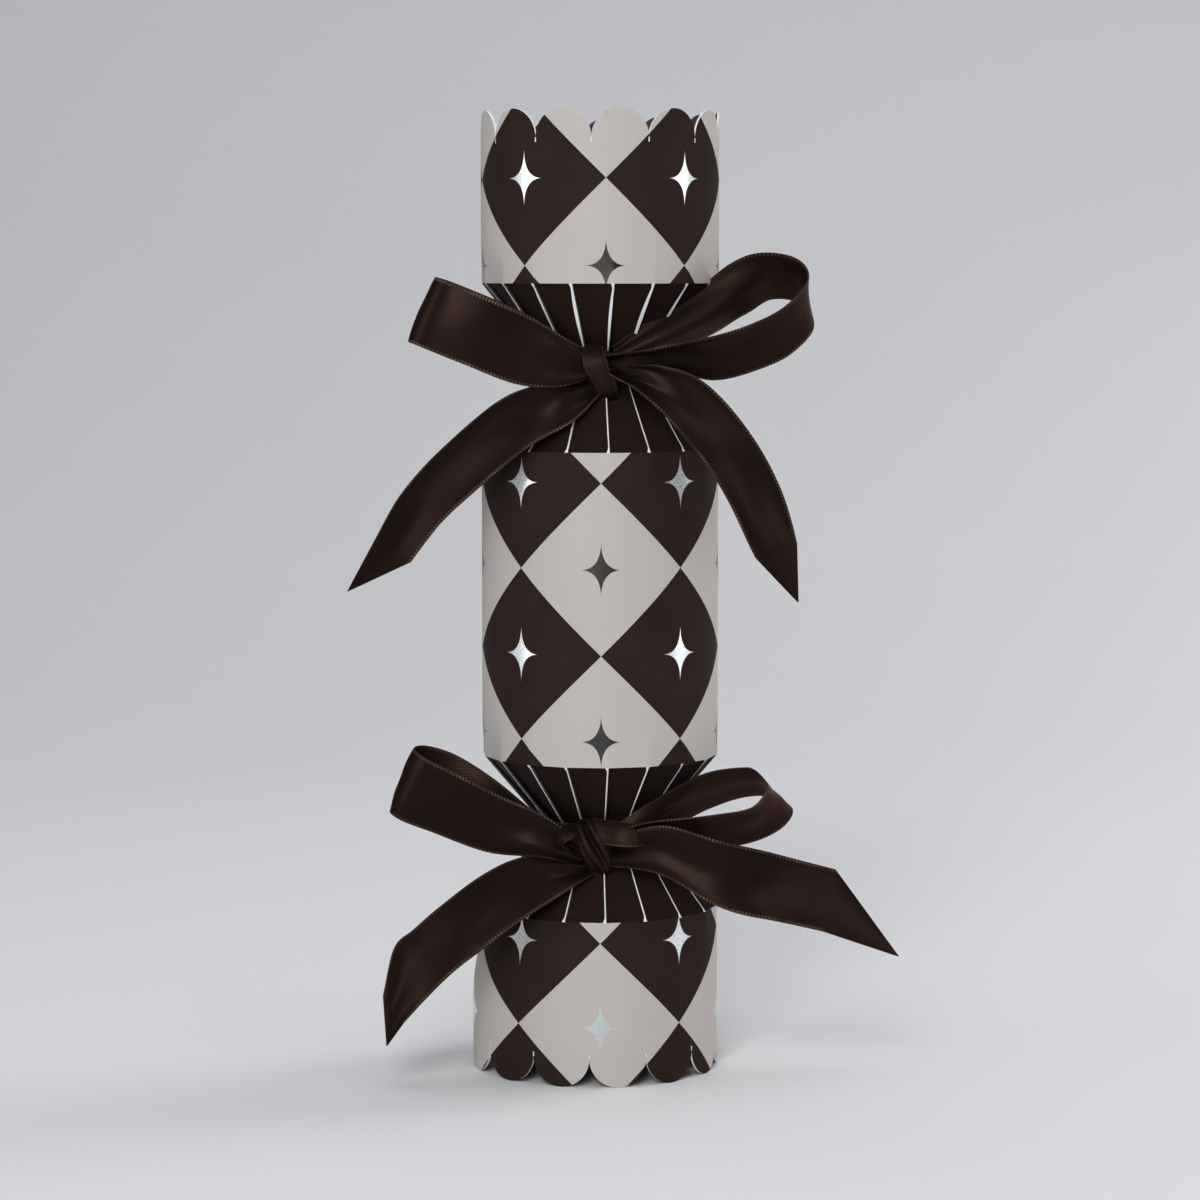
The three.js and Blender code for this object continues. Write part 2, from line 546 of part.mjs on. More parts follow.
// The box stands in the front half of the barrel, clear of the snap
const lidRim = BOX_WALL + CLEAR;
const boxWidth = LID_WIDTH - 2 * lidRim;
const boxDepth = LID_DEPTH - 2 * lidRim;
const boxY = -(sleeveDepth / 2 + SLEEVE_WALL + 3 * CLEAR + LID_DEPTH / 2);
const boxZ = seatZ(Math.hypot(boxWidth / 2, boxDepth / 2 - boxY));
const giftBoxBase = hollowed(
  block(boxWidth, boxDepth, BOX_HEIGHT, 0, 0, 0),
  block(boxWidth - 2 * BOX_WALL, boxDepth - 2 * BOX_WALL, BOX_HEIGHT, 0, 0, BOX_WALL));
const lidTop = BOX_HEIGHT + lidRim;
const giftBoxLid = hollowed(
  block(LID_WIDTH, LID_DEPTH, LID_HEIGHT, 0, 0, lidTop - LID_HEIGHT),
  block(LID_WIDTH - 2 * BOX_WALL, LID_DEPTH - 2 * BOX_WALL, LID_HEIGHT, 0, 0, lidTop - LID_HEIGHT - BOX_WALL));

const padWidth = boxWidth - 2 * lidRim;
const padDepth = boxDepth - 2 * lidRim;
const padZ = BOX_WALL + CLEAR;
const padTop = padZ + PAD_HEIGHT;
const studX = padWidth / 4;
const postLength = PAD_HEIGHT + CLEAR - POST_END;
const pocket = BACK_HEIGHT + 3 * CLEAR;
const rod = (radius, height, x, sides) => new THREE.CylinderGeometry(radius, radius, height, sides)
  .rotateX(Math.PI / 2).translate(x, 0, padZ);
const foamPad = hollowed(
  block(padWidth, padDepth, PAD_HEIGHT, 0, 0, padZ),
  ...[-studX, studX].flatMap((x) => [
    rod(POST_RADIUS + CLEAR, 3 * PAD_HEIGHT, x, 12), rod(BACK_RADIUS + CLEAR, 2 * pocket, x, 20)]));
const stud = turned([
  [0, -postLength], [POST_RADIUS, -postLength], [POST_RADIUS, 0], [STUD_RADIUS * 0.75, 0],
  [STUD_RADIUS, STUD_RADIUS * 0.27], [STUD_RADIUS * 0.8, STUD_RADIUS * 0.6],
  [STUD_RADIUS * 0.4, STUD_RADIUS * 0.85], [0, STUD_RADIUS * 0.9],
], 16).translate(0, 0, padTop + CLEAR);
const studBack = ring([
  [POST_RADIUS + CLEAR, 0], [BACK_RADIUS, 0], [BACK_RADIUS, BACK_HEIGHT], [POST_RADIUS + CLEAR, BACK_HEIGHT],
], 16).translate(0, 0, padZ + CLEAR);

// The rolled hat and motto stand in the back half
const paperHat = ring([
  [HAT_BORE, 0], [HAT_RADIUS, 0], [HAT_RADIUS, HAT_HEIGHT], [HAT_BORE, HAT_HEIGHT],
], 24);
const bandInner = HAT_RADIUS + CLEAR;
const hatBand = ring([
  [bandInner, 0], [bandInner + PAPER, 0], [bandInner + PAPER, HAT_BAND_HEIGHT], [bandInner, HAT_BAND_HEIGHT],
], 24).translate(0, 0, (HAT_HEIGHT - HAT_BAND_HEIGHT) / 2);
const mottoInner = MOTTO_RADIUS - 2 * PAPER;
const mottoSlip = ring([
  [mottoInner, 0], [MOTTO_RADIUS, 0], [MOTTO_RADIUS, MOTTO_HEIGHT], [mottoInner, MOTTO_HEIGHT],
], 18);

// Materials and scene

const material = (colour, roughness, metalness = 0) => new THREE.MeshStandardMaterial({
  color: new THREE.Color(colour), roughness, metalness,
});

const root = new THREE.Group();
const cracker = new THREE.Group();
cracker.position.set(AXIS_X, AXIS_Y, 0);
root.add(cracker);

function piece(name, geometry, look, parent = cracker) {
  const mesh = new THREE.Mesh(geometry, look);
  mesh.name = name;
  parent.add(mesh);
  return mesh;
}

piece('lower_tube', toGeometry(endTube(Z.lowerCrease, 0, LOWER_TUBE_SLITS, BOTTOM_SCALLOPS, Z.lowerWaist)),
  material('#b9b3ad', 0.55));
piece('barrel_wrap', toGeometry(barrelWrap()), material('#b9b3ad', 0.55));
piece('upper_tube', toGeometry(endTube(Z.upperCrease, Z.top, UPPER_TUBE_SLITS, TOP_SCALLOPS, Z.upperWaist)),
  material('#b9b3ad', 0.55));
piece('upper_ribbon', toGeometry(upperRibbon), material('#2b2220', 0.4));
piece('lower_ribbon', toGeometry(lowerRibbon), material('#2b2220', 0.4));
piece('snap_strip_lower', snapStripLower, material('#a59a86', 0.8));
piece('snap_strip_upper', snapStripUpper, material('#a59a86', 0.8));
piece('snap_charge', snapCharge, material('#6b6f73', 0.6));
piece('snap_sleeve', snapSleeve, material('#c9bfa8', 0.8));
piece('tape_lower', tapeLower, material('#d8cfb4', 0.4));
piece('tape_upper', tapeUpper, material('#d8cfb4', 0.4));

const gift = new THREE.Group();
gift.position.set(0, boxY, boxZ);
cracker.add(gift);
piece('gift_box_base', giftBoxBase, material('#3a2f2b', 0.7), gift);
piece('gift_box_lid', giftBoxLid, material('#3a2f2b', 0.7), gift);
piece('foam_pad', foamPad, material('#1d1a19', 0.95), gift);
for (const [side, hand] of [[-1, 'left'], [1, 'right']]) {
  piece(`stud_earring_${hand}`, stud, material('#c8c9cb', 0.2, 1), gift).position.x = side * studX;
  piece(`stud_back_${hand}`, studBack, material('#c8c9cb', 0.25, 1), gift).position.x = side * studX;
}

const hat = new THREE.Group();
hat.position.set(HAT_SIDE, HAT_BEHIND, seatZ(Math.hypot(HAT_SIDE, HAT_BEHIND) + HAT_RADIUS));
cracker.add(hat);
piece('paper_hat', paperHat, material('#6b1f2a', 0.9), hat);
piece('hat_band', hatBand, material('#b9b3ad', 0.8), hat);
const mottoZ = seatZ(Math.hypot(MOTTO_SIDE, MOTTO_BEHIND) + MOTTO_RADIUS);
piece('motto_slip', mottoSlip, material('#d8d2c4', 0.9)).position.set(MOTTO_SIDE, MOTTO_BEHIND, mottoZ);

export default root;
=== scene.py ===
import math

import bmesh
import bpy
from mathutils import Matrix, Vector, noise


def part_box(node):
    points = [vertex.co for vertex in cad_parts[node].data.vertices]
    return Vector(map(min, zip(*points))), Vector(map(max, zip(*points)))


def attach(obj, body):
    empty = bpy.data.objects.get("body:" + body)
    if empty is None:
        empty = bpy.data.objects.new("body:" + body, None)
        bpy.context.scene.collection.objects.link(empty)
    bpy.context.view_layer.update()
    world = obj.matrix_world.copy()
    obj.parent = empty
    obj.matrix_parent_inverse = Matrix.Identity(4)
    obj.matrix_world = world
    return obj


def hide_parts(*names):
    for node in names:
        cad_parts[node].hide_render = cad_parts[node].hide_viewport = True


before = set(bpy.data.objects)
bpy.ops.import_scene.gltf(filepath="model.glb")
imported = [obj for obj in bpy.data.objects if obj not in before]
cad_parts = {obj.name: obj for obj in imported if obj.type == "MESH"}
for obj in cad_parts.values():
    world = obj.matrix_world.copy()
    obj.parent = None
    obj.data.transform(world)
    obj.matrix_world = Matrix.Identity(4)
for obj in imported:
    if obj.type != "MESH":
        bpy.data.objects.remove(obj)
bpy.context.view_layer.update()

# Studio. The cracker stands on a pale paper sweep that curves up behind it. The camera is a long lens
# above the middle of the cracker, tilted down at it. The soft key stands at the front left.
scene = bpy.context.scene
scene.view_settings.view_transform = "Standard"
axis_x, axis_y = -0.005, 0.00245
camera_distance = 0.797
camera_height = 0.176
camera_tilt = 5.2
camera_lens = 108.85

camera = bpy.data.objects.new("camera", bpy.data.cameras.new("camera"))
scene.collection.objects.link(camera)
camera.location = (axis_x, axis_y - camera_distance, camera_height)
camera.rotation_euler = (math.radians(90 - camera_tilt), 0, 0)
camera.data.lens = camera_lens
scene.camera = camera


def softbox(name, place, target, size, watts, diffuse=True, gloss=True):
    """A rectangular lamp turned to its target, which can leave out the matt light or the gloss"""
    lamp = bpy.data.lights.new(name, "AREA")
    lamp.shape = "RECTANGLE"
    lamp.size, lamp.size_y = size
    lamp.energy = watts
    holder = bpy.data.objects.new(name, lamp)
    scene.collection.objects.link(holder)
    holder.location = place
    holder.rotation_euler = (Vector(target) - Vector(place)).to_track_quat("-Z", "Y").to_euler()
    holder.visible_diffuse = diffuse
    holder.visible_glossy = gloss


softbox("key_light", (-0.22, -1.15, 0.6), (0, 0, 0.1), (0.42, 0.8), 9.5)
softbox("side_light", (1.0, 0.5, 0.45), (0, 0, 0.1), (0.5, 0.8), 6.8, gloss=False)
softbox("left_strip", (-0.95, -0.35, 0.4), (0, 0, 0.12), (0.2, 0.9), 3.2, diffuse=False)
softbox("right_strip", (0.75, -0.5, 0.75), (0, 0, 0.1), (0.35, 0.6), 2.4, diffuse=False)
softbox("right_card", (0.95, -0.1, 0.2), (0, 0, 0.14), (0.14, 0.6), 1.3, diffuse=False)
softbox("top_light", (0, 0.1, 1.1), (0, 0, 0.1), (0.9, 0.9), 3.2)


def linear(red, green, blue):
    """A colour in 0-255 screen values, as shaders take it"""
    shares = (value / 255 for value in (red, green, blue))
    return (*(c / 12.92 if c <= 0.04045 else ((c + 0.055) / 1.055) ** 2.4 for c in shares), 1)


class Wire:
    """A shader socket. Python's operators on it add Math nodes"""

    def __init__(self, tree, socket):
        self.tree = tree
        self.socket = socket

    def maths(self, operation, *values):
        node = self.tree.nodes.new("ShaderNodeMath")
        node.operation = operation
        for slot, value in zip(node.inputs, values):
            if isinstance(value, Wire):
                self.tree.links.new(value.socket, slot)
            else:
                slot.default_value = value
        return Wire(self.tree, node.outputs[0])

    def __add__(self, other):
        return self.maths("ADD", self, other)

    def __sub__(self, other):
        return self.maths("SUBTRACT", self, other)

    def __rsub__(self, other):
        return self.maths("SUBTRACT", other, self)

    def __mul__(self, other):
        return self.maths("MULTIPLY", self, other)

    def __truediv__(self, other):
        return self.maths("DIVIDE", self, other)

    def __lt__(self, other):
        return self.maths("LESS_THAN", self, other)

    def __gt__(self, other):
        return self.maths("GREATER_THAN", self, other)

    def __pow__(self, other):
        return self.maths("POWER", self, other)

    def __abs__(self):
        return self.maths("ABSOLUTE", self)

    __radd__ = __add__


class Finish:
    """A material whose nodes are added by name"""

    def __init__(self, name, **fixed):
        self.material = bpy.data.materials.new(name)
        self.material.use_nodes = True
        self.tree = self.material.node_tree
        self.shader = self.tree.nodes["Principled BSDF"]
        for socket, value in fixed.items():
            self.shader.inputs[socket.replace("_", " ")].default_value = value

    def node(self, kind, settings=None, sockets=None, output=0):
        node = self.tree.nodes.new(kind)
        for key, value in (settings or {}).items():
            setattr(node, key, value)
        for key, value in (sockets or {}).items():
            if isinstance(value, Wire):
                self.tree.links.new(value.socket, node.inputs[key])
            else:
                node.inputs[key].default_value = value
        return Wire(self.tree, node.outputs[output])

    def mix(self, share, first, second):
        return self.node("ShaderNodeMix", {"data_type": "RGBA"}, {0: share, 6: first, 7: second}, 2)

    def stretched(self, vector, scale):
        return self.node("ShaderNodeVectorMath", {"operation": "MULTIPLY"}, {0: vector, 1: scale})

    def place(self, x=0.0, y=0.0):
        """The surface point's x, y and z, measured from the upright axis through the given x and y"""
        where = self.node("ShaderNodeTexCoord", output="Object")
        self.point = self.node("ShaderNodeVectorMath", {"operation": "SUBTRACT"}, {0: where, 1: (x, y, 0)})
        return [self.node("ShaderNodeSeparateXYZ", None, {0: self.point}, axis) for axis in range(3)]

    def speckle(self, size, detail=2.0, roughness=0.5, vector=None):
        return self.node("ShaderNodeTexNoise", None, {
            "Vector": vector or self.point, "Scale": 1 / size, "Detail": detail, "Roughness": roughness})

    def gives(self, socket, value):
        self.tree.links.new(value.socket, self.shader.inputs[socket])

    def relief(self, height, depth, strength):
        bump = self.node("ShaderNodeBump", None, {"Height": height, "Distance": depth, "Strength": strength})
        self.gives("Normal", bump)


def piece(name, shape, finishes, body=None, replaces=(), smooth=True):
    """Turns a bmesh into an object that rides on a body and stands for its CAD nodes"""
    mesh = bpy.data.meshes.new(name)
    for face in shape.faces:
        face.smooth = smooth
    shape.to_mesh(mesh)
    shape.free()
    made = bpy.data.objects.new(name, mesh)
    scene.collection.objects.link(made)
    for finish in finishes:
        mesh.materials.append(finish.material)
    if body:
        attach(made, body)
    if replaces:
        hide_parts(*replaces)
    return made


def drawn_through(shape, rows, closed=False, uv=None):
    """Draws a line of points through rows of places, one extrusion a row, and returns the new faces"""
    column = shape.verts.layers.int.get("column") or shape.verts.layers.int.new("column")
    line = shape.verts.layers.int.get("row") or shape.verts.layers.int.new("row")
    before = set(shape.faces)
    first = [shape.verts.new(p) for p in rows[0]]
    for i, vert in enumerate(first):
        vert[column] = i
        vert[line] = 0
    following = first[1:] + (first[:1] if closed else [])
    edges = [shape.edges.new(pair) for pair in zip(first, following)]
    for r, row in enumerate(rows[1:], 1):
        made = bmesh.ops.extrude_edge_only(shape, edges=edges)["geom"]
        edges = [e for e in made if isinstance(e, bmesh.types.BMEdge)]
        for vert in made:
            if isinstance(vert, bmesh.types.BMVert):
                vert.co = row[vert[column]]
                vert[line] = r
    faces = [f for f in shape.faces if f not in before]
    if uv:
        layer = shape.loops.layers.uv.verify()
        for face in faces:
            for loop in face.loops:
                loop[layer].uv = uv(loop.vert[line], loop.vert[column])
    return faces


paper = Finish("backdrop_paper", Roughness=0.9)
paper.place()
paper.gives("Base Color", paper.mix(paper.speckle(0.3), linear(226, 227, 230), linear(231, 231, 233)))
front_edge, side_edge = -3, 4
floor_back, wall_top = 0.5, 4
sweep_radius = 0.9
sweep_steps = 12
profile = [(front_edge, 0), (floor_back, 0)]
for step in range(1, sweep_steps + 1):
    turn = step * math.pi / (2 * sweep_steps)
    profile.append((floor_back + sweep_radius * math.sin(turn), sweep_radius - sweep_radius * math.cos(turn)))
profile.append((floor_back + sweep_radius, wall_top))
sweep = bmesh.new()
drawn_through(sweep, [[(x, y, z) for y, z in profile] for x in (-side_edge, side_edge)])
bmesh.ops.recalc_face_normals(sweep, faces=sweep.faces)
piece("backdrop", sweep, [paper])

world = bpy.data.worlds.new("studio")
world.use_nodes = True
scene.world = world
sky = world.node_tree.nodes["Background"]
sky.inputs["Color"].default_value = (0.95, 0.97, 1, 1)
sky.inputs["Strength"].default_value = 0.26

# The card wrapper. One printed and laminated card is rolled into a tube and glued along a lap at the
# back. Both ends are die-cut in thirteen scallops, and each neck is slit into eighteen petals that are
# creased inwards. It parts at the two waists, so each end is a piece of its own.
mm = 0.001
tube_radius = 26 * mm
card = 0.45 * mm
lower_crease, lower_waist, barrel_bottom = 0.036, 0.0528, 0.0696
barrel_top, upper_waist, upper_crease, rim = 0.1372, 0.15515, 0.1731, 0.2102
waist_slack = 1.3 * mm
tear_gap = 0.3 * mm
scallop_count = 13
petal_count = 18
pitch = 2 * math.pi / petal_count
slit = 0.55 * mm
petal_gap = 0.12 * mm
petal_width = 2 * tube_radius * math.sin(pitch / 2) - slit


def petal_tuck(thick):
    """How far a petal's edge reaches under its neighbour"""
    return (thick + petal_gap) / math.sin(pitch)


waist_radius = (petal_width + petal_tuck(card * math.sqrt(2))) * math.cos(pitch / 2) + waist_slack
flat_away = tube_radius * math.cos(pitch / 2)
flats_end = 8 * mm


def eased(share):
    """Goes from 0 to 1 with a soft start and end"""
    share = max(0, min(1, share))
    return share * share * (3 - 2 * share)


def wall_radius(angle, from_crease, slits):
    """The tube is round, but turns into eighteen flats where it is creased"""
    turned = (angle - slits) % pitch - pitch / 2
    flat = flat_away / math.cos(turned)
    return tube_radius + (flat - tube_radius) * eased(1 - from_crease / flats_end)


bulge_depth = 2.2 * mm
bulge_rise = 20 * mm


def bulge(angle, below_crease):
    """The lower end is a little out of round: it stands out to the left, most of all near its foot"""
    to_left = max(0, -math.sin(angle))
    return bulge_depth * to_left ** 2 * eased(below_crease / bulge_rise)


lap_end, lap_width, lap_rise = 190, 20, 10


def lap(angle):
    """How far the glued lap at the back lifts the card. Its place and width are in degrees"""
    turn = math.degrees(angle % (2 * math.pi)) - lap_end + lap_width
    return card * (min(1, turn / lap_rise) if 0 < turn <= lap_width else 0)


def at(radius, angle, z):
    """A place at a distance from the axis. Angle 0 is the front"""
    return (axis_x + radius * math.sin(angle), axis_y - radius * math.cos(angle), z)


def rolled_wall(name, low, high, low_slits, high_slits, scallops, finishes, body):
    """A tube between two edges. An edge is a crease with its slits' angle, or a scalloped rim"""
    per_scallop = 44
    scallop = math.pi * tube_radius / scallop_count
    middle_z = (low + high) / 2
    shares = [0, 0.012, 0.05, 0.1, 0.18, 0.3, 0.5, 0.7, 0.82, 0.9, 0.95, 0.988, 1]
    rows = []
    for share in shares:
        row = []
        for i in range(scallop_count * per_scallop):
            side = scallop * math.sin(math.pi * ((i % per_scallop) / per_scallop - 0.5))
            middle = (i // per_scallop + 0.5) * 2 * math.pi / scallop_count
            angle = math.radians(scallops) + middle + side / tube_radius
            drop = scallop - math.sqrt(scallop * scallop - side * side)
            bottom = low + (drop if low_slits is None else 0)
            top = high - (drop if high_slits is None else 0)
            z = bottom + (top - bottom) * share
            radius = tube_radius
            if low_slits is not None and z < middle_z:
                radius = wall_radius(angle, z - low, math.radians(low_slits))
            if high_slits is not None and z > middle_z:
                radius = wall_radius(angle, high - z, math.radians(high_slits))
            if low_slits is None:
                radius += bulge(angle, high - z)
            row.append(at(radius + lap(angle), angle, z))
        rows.append(row)
    shape = bmesh.new()
    drawn_through(shape, rows, closed=True)
    bmesh.ops.recalc_face_normals(shape, faces=shape.faces)
    for edge in shape.edges:
        edge.smooth = not edge.is_boundary
    made = piece(name, shape, finishes, body)
    skin = made.modifiers.new("card", "SOLIDIFY")
    skin.thickness = card
    skin.offset = -1
    skin.material_offset = 1
    skin.material_offset_rim = 2
    return made


def petal_section(radius, tuck):
    """How far out a petal lies, how far its upper edge is to the side, and that edge's angle, so that
    every petal lies on its neighbour"""
    reach = petal_width + tuck
    slope = math.tan(pitch / 2)
    root = math.sqrt((reach * slope) ** 2 - (1 + slope ** 2) * (reach ** 2 - radius ** 2))
    away = math.cos(pitch / 2) ** 2 * (reach * slope + root)
    upper = reach - away * slope
    return away, upper, math.atan2(upper, away)


edge_white = 0.25 * mm
edge_overhang = 0.25 * mm
burr_width, burr_reach = 0.45 * mm, 0.6 * mm
edge_taper, edge_unevenness = 0.72, 0.5
petal_crown = 0.1 * mm
under_sink = 0.02 * mm
worn_corner = 0.03 * mm
white_side = 0.05 * mm


def petal_ring(name, crease, waist, slits, gape, finishes, body):
    """Eighteen petals, each a plank of card whose right edge lies over its neighbour. The slit tears
    the print off along that edge, so the white card shows: widest a third of the way in, where the
    slit gapes, and in a small burr at the crease, where the knife went in."""
    half = abs(waist - crease)
    way = 1 if waist > crease else -1
    thick = card / math.cos(math.atan((tube_radius - waist_radius) / half))
    edge = math.atan2(petal_width / 2, flat_away)
    settled = 0.045
    white_card, card_back_and_painted_shade = 1, 2
    # Below its thin white top, each petal's cut side takes the dark inside of the card: a painted shadow line
    # beside the white edge. The underside and the edge under the neighbour are the card's real back.
    looks = {
        (3, 4): white_card, (4, 5): white_card,
        (5, 6): card_back_and_painted_shade, (6, 7): card_back_and_painted_shade, (0, 7): card_back_and_painted_shade}
    shape = bmesh.new()
    shares = [0, 0.02, settled, 0.07, 0.11, 0.16] + [0.22 + 0.78 * step / 14 for step in range(15)]
    for i in range(petal_count):
        middle = math.radians(slits) + (i + 0.5) * pitch
        uneven = edge_unevenness * noise.noise(Vector((i * 1.7, crease * 300, slits)))
        rows = []
        for share in shares:
            radius = tube_radius + (waist_radius - tube_radius) * share
            away, upper, angle = petal_section(radius, petal_tuck(thick) * min(1, share / settled))
            if share == 0:
                away, upper, angle = flat_away, petal_width / 2, edge
            under = upper - petal_width
            upper += edge_overhang
            facing = middle + edge - angle
            z = crease + way * (half - tear_gap / 2) * share
            burr = burr_width * math.exp(-(share * half / burr_reach) ** 2)
            narrow = edge_white * (1 - edge_taper * share)
            white = (narrow + gape * math.sin(math.pi * share ** 0.75) ** 1.3) * (1 + uneven) + burr
            crown = petal_crown * math.sin(math.pi * share)
            section = [
                (under, away - under_sink), (under * 0.4 + upper * 0.2, away + crown),
                (upper * 0.7, away + crown), (upper - white, away), (upper, away - worn_corner),
                (upper, away - worn_corner - white_side), (upper, away - thick), (under, away - thick),
            ]
            out = (math.sin(facing), -math.cos(facing))
            along = (math.cos(facing), math.sin(facing))
            rows.append([(axis_x + out[0] * d + along[0] * s, axis_y + out[1] * d + along[1] * s, z)
                for s, d in section])
        faces = drawn_through(shape, rows, closed=True)
        column = shape.verts.layers.int["column"]
        for face in faces:
            columns = tuple(sorted({v[column] for v in face.verts}))
            face.material_index = looks.get(columns, 0)
    bmesh.ops.holes_fill(shape, edges=[e for e in shape.edges if e.is_boundary], sides=8)
    bmesh.ops.recalc_face_normals(shape, faces=shape.faces)
    return piece(name, shape, finishes, body, smooth=False)


# The print: harlequin diamonds in cream and dark brown, with a four-pointed foil star in each. It is
# worked out from the angle round the tube and the height, so it follows the roll.
diamond_turn = math.radians(41.2)
diamond_half = 18.5 * mm
star_across, star_up = 4.6 * mm, 6.15 * mm
cream = (linear(192, 186, 181), linear(186, 180, 175))
brown = (linear(50, 39, 35), linear(42, 32, 28))
foil_on_brown = linear(232, 236, 238)
foil_on_cream = linear(70, 68, 66)
notch_white = linear(222, 224, 225)
notch_width, notch_length = 0.28 * mm, 1 * mm
card_grain = 0.35 * mm
card_relief = 0.01 * mm


def printed_card(name, crossing_z, column_turn, on_cream=foil_on_cream, notches=None):
    """Diamonds whose corners cross at a height and a turn in degrees, with a white knife mark at each
    notch of a scalloped rim"""
    finish = Finish(name, Roughness=0.5, Specular_IOR_Level=0.02)
    x, y, z = finish.place(axis_x, axis_y)
    angle = finish.node("ShaderNodeMath", {"operation": "ARCTAN2"}, {0: x, 1: y * -1})
    angle = angle.maths("WRAP", angle, math.radians(lap_end), math.radians(lap_end - 360))
    column = (angle - math.radians(column_turn)) / diamond_turn
    row = (z - crossing_z) / diamond_half
    slant, counter = (column + row) / 2, (column - row) / 2
    floor_a, floor_b = slant.maths("FLOOR", slant), counter.maths("FLOOR", counter)
    dark = 1 - abs((floor_a + floor_b).maths("MODULO", floor_a + floor_b, 2))
    a, b = slant - floor_a - 0.5, counter - floor_b - 0.5
    star_x = abs((a + b) * (diamond_turn * tube_radius))
    star_z = abs((a - b) * diamond_half)
    foil = (star_x / star_across) ** 0.5 + (star_z / star_up) ** 0.5 < 1
    cloud = finish.speckle(9 * mm, 3)
    printed = finish.mix(dark, finish.mix(cloud, *cream), finish.mix(cloud, *brown))
    inked = finish.mix(foil, printed, finish.mix(dark, on_cream, foil_on_brown))
    if notches:
        first, height = notches
        notch_turn = 2 * math.pi / scallop_count
        turns = (angle - math.radians(first)) / notch_turn
        aside = abs(turns - turns.maths("ROUND", turns)) * (notch_turn * tube_radius)
        mark = (aside < notch_width / 2) * (abs(z - height) < notch_length / 2)
        inked = finish.mix(mark, inked, notch_white)
    finish.gives("Base Color", inked)
    finish.gives("Metallic", foil * (1 - dark * 0.42))
    grain = finish.speckle(card_grain, 3, 0.6)
    finish.gives("Roughness", 0.47 + grain * 0.1 - foil * 0.24)
    finish.relief(grain * (1 - foil * 0.93) + foil * 0.4, card_relief, 0.6)
    return finish


dark_card = Finish("neck_card", Roughness=0.5, Specular_IOR_Level=0.01)
dark_card.place(axis_x, axis_y)
dark_grain = dark_card.speckle(card_grain, 3, 0.6)
dark_cloud = dark_card.speckle(6 * mm, 3)
dark_card.gives("Base Color", dark_card.mix(dark_cloud, linear(34, 24, 21), linear(42, 30, 27)))
dark_card.gives("Roughness", 0.46 + dark_grain * 0.12)
dark_card.relief(dark_grain, card_relief, 0.6)

cut_edge = Finish("cut_card_edge", Roughness=0.9)
cut_edge.place()
fibre = cut_edge.speckle(0.18 * mm, 4, 0.7)
cut_edge.gives("Base Color", cut_edge.mix(fibre, linear(224, 226, 227), linear(246, 247, 248)))
cut_edge.relief(fibre, 0.03 * mm, 0.8)

inside_card = Finish("inside_of_card", Roughness=0.85)
inside_card.place()
inside_grain = inside_card.speckle(0.5 * mm, 4, 0.65)
inside_card.gives("Base Color", inside_card.mix(inside_grain, linear(58, 49, 52), linear(74, 64, 66)))
inside_card.relief(inside_grain, 0.02 * mm, 0.6)

lower_scallops, upper_scallops = -5.1, -4.1
upper_print = printed_card("upper_print", 195.4 * mm, 2.8, notches=(upper_scallops, 203.5 * mm))
barrel_print = printed_card("barrel_print", 130.7 * mm, 0.5)
# On the lower tube the stars on cream take a pale blue-white foil instead of the dark one: a painted
# reflection.
lower_print = printed_card(
    "lower_print", 31.5 * mm, 0.1, linear(206, 216, 215), notches=(lower_scallops, 6.7 * mm))

# Half a neck: its name, crease and waist, the turn of its slits in degrees and how far they gape
foot_slits, barrel_foot_slits, barrel_top_slits, head_slits = 3.0, 4.1, 4.6, 6.8
foot = ("foot", lower_crease, lower_waist, foot_slits, 0.06 * mm)
barrel_foot = ("barrel_foot", barrel_bottom, lower_waist, barrel_foot_slits, 0.1 * mm)
barrel_head = ("barrel_top", barrel_top, upper_waist, barrel_top_slits, 0.1 * mm)
head = ("head", upper_crease, upper_waist, head_slits, 0.48 * mm)
petal_looks = [dark_card, cut_edge, inside_card]
for end, body, low, high, low_slits, high_slits, scallops, ink, necks in (
    ("lower_tube", "lower_end", 0, lower_crease, None, foot_slits, lower_scallops, lower_print, (foot,)),
    ("barrel_wrap", "barrel", barrel_bottom, barrel_top, barrel_foot_slits, barrel_top_slits, 0, barrel_print,
        (barrel_foot, barrel_head)),
    ("upper_tube", "upper_end", upper_crease, rim, head_slits, None, upper_scallops, upper_print, (head,)),
):
    wall = rolled_wall(end + "_wall", low, high, low_slits, high_slits, scallops,
        [ink, inside_card, cut_edge], body)
    for neck, crease, waist, slits, gape in necks:
        petal_ring(neck + "_petals", crease, waist, slits, gape, petal_looks, body)
    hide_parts(end)

# The bows. Each is one length of 15 mm satin ribbon with woven selvedges, smooth on one side and
# twilled on the other, drawn tight round a waist and tied in front, with slant-cut tails.
ribbon_half = 7.5 * mm
ribbon_thick = 0.28 * mm
band_clear, band_depth = 0.3 * mm, 1.5 * mm
knot_half, knot_sunk = 3.5 * mm, 0.8 * mm
knot_y = -(waist_radius + band_clear + band_depth + knot_half - knot_sunk)
twill_slant = math.radians(25)
twill_pitch = 0.46 * mm
stitch_pitch = 0.78 * mm
selvedge_start = 6.85 * mm
# The light selvedge ticks are partly the yarn's colour and partly a painted glint, shown in random patches.
selvedge_yarn_and_glint = linear(112, 91, 78)
floats_to_a_metre = (5000, 120, 0)
glint_patch_size, glint_patch_gain = 6 * mm, 3.2
weave_relief = 0.03 * mm


